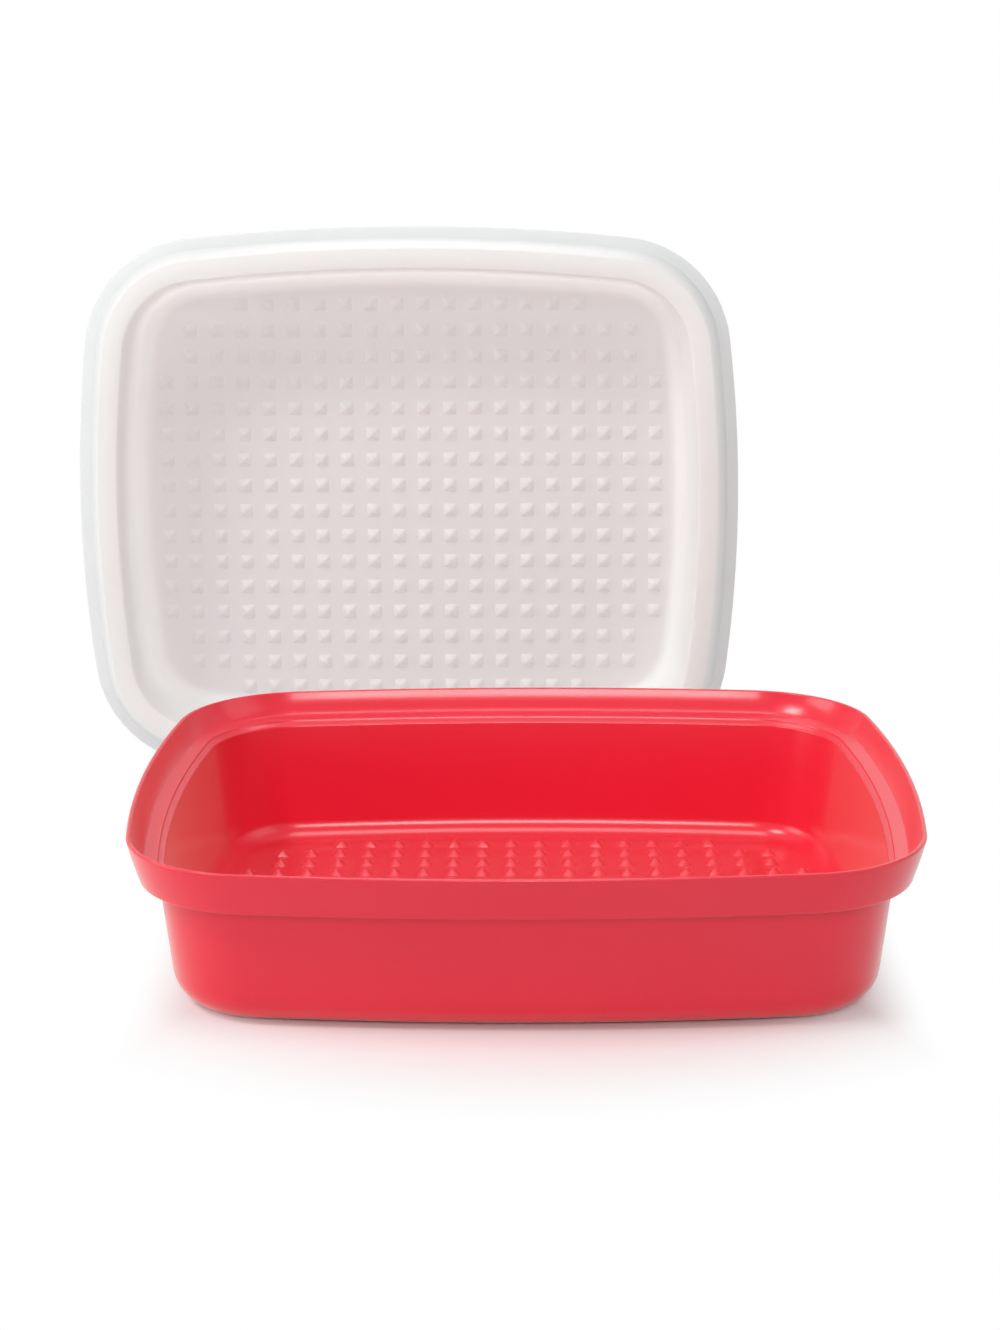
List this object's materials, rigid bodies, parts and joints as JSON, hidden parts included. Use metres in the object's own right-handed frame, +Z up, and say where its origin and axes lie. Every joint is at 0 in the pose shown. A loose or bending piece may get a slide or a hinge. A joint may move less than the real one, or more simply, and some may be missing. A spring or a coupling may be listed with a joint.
{
  "type": "marinating container",
  "caption": "Rectangular marinating tray with a flared collar, and its tall clear-white cover standing behind it. Rows of low knobs cover the floor of the tray and the panel of the cover.",
  "frame": {"origin": "middle of the tray's underside, on the table", "axes": "+X along the tray's long side, +Y from the front of the tray towards the standing cover, +Z up"},
  "size_m": [0.3701, 0.3874, 0.2666],
  "materials": {
    "tray": "gloss",
    "cover": "satin"
  },
  "bodies": {
    "tray": {"tray": "tray"},
    "cover": {"cover": "cover"}
  },
  "joints": [
    {"name": "cover_lift", "type": "slide", "parent": "tray", "child": "cover", "axis": [0, 0, 1], "range_m": [0, 0.12]}
  ]
}
